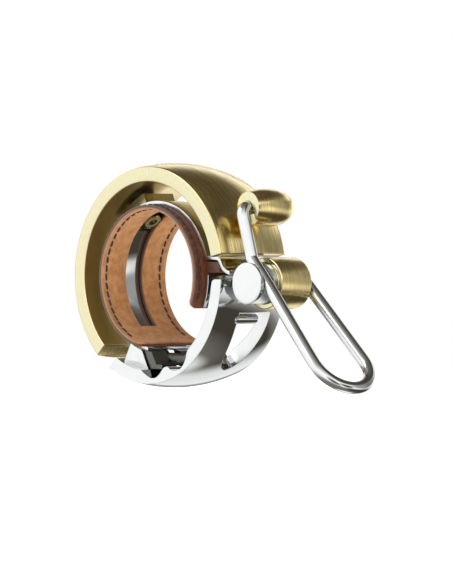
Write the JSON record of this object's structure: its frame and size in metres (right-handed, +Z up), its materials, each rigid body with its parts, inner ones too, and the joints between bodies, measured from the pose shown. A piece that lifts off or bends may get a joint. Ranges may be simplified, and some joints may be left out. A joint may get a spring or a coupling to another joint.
{
  "type": "bicycle bell",
  "caption": "Ring-shaped bicycle bell: a C-shaped brass ringer round a leather-lined handlebar clamp, struck by a sprung brass hammer on a polished wire thumb lever.",
  "frame": {"origin": "on the handlebar's axis, half way along the bell's width", "axes": "+Y along the handlebar, away from the lever's hammer arm; +X towards the lever and pivot; +Z up, towards the hammer"},
  "size_m": [0.0878, 0.0219, 0.0536],
  "materials": {
    "brass": "brushed",
    "chrome": "polished",
    "steel": "satin",
    "spring_steel": "oiled",
    "bronze": "sintered, oiled",
    "leather": "smooth, waxed edges",
    "suede": "suede",
    "nylon": "matt",
    "thread": "waxed thread"
  },
  "bodies": {
    "collar": {"ringer": "brass", "ringer_seat": "brass", "ringer_damper": "nylon", "ringer_screw": "brass", "ringer_washer": "steel", "leather_outer": "leather", "leather_liner": "suede", "collar_strap": "chrome", "heel_plate": "chrome", "clamp_lug": "steel", "spring_housing": "brass", "housing_cap": "brass", "front_bush": "bronze", "rear_bush": "bronze", "torsion_spring": "spring_steel"},
    "striker": {"pivot_pin": "chrome", "pin_clip": "chrome", "lever_wire": "chrome", "hammer": "brass"},
    "bracket": {"bracket": "chrome", "window_pin": "chrome", "clamp_nut": "steel"},
    "clamp_screw": {"clamp_screw": "steel", "screw_washer": "steel"}
  },
  "joints": [
    {"name": "striker_pivot", "type": "hinge", "parent": "collar", "child": "striker", "pos_m": [0.03306, 0, -0.0015], "axis": [0, 1, 0], "range_deg": [-3.5, 35], "stiffness_Nm_per_rad": 0.05, "springref_deg": -0.8},
    {"name": "clamp_hinge", "type": "hinge", "parent": "collar", "child": "bracket", "pos_m": [0.03306, 0, -0.0015], "axis": [0, -1, 0], "range_deg": [0, 35]},
    {"name": "clamp_screw_travel", "type": "slide", "parent": "bracket", "child": "clamp_screw", "axis": [-1, 0, 0], "range_m": [0, 0.003]}
  ]
}
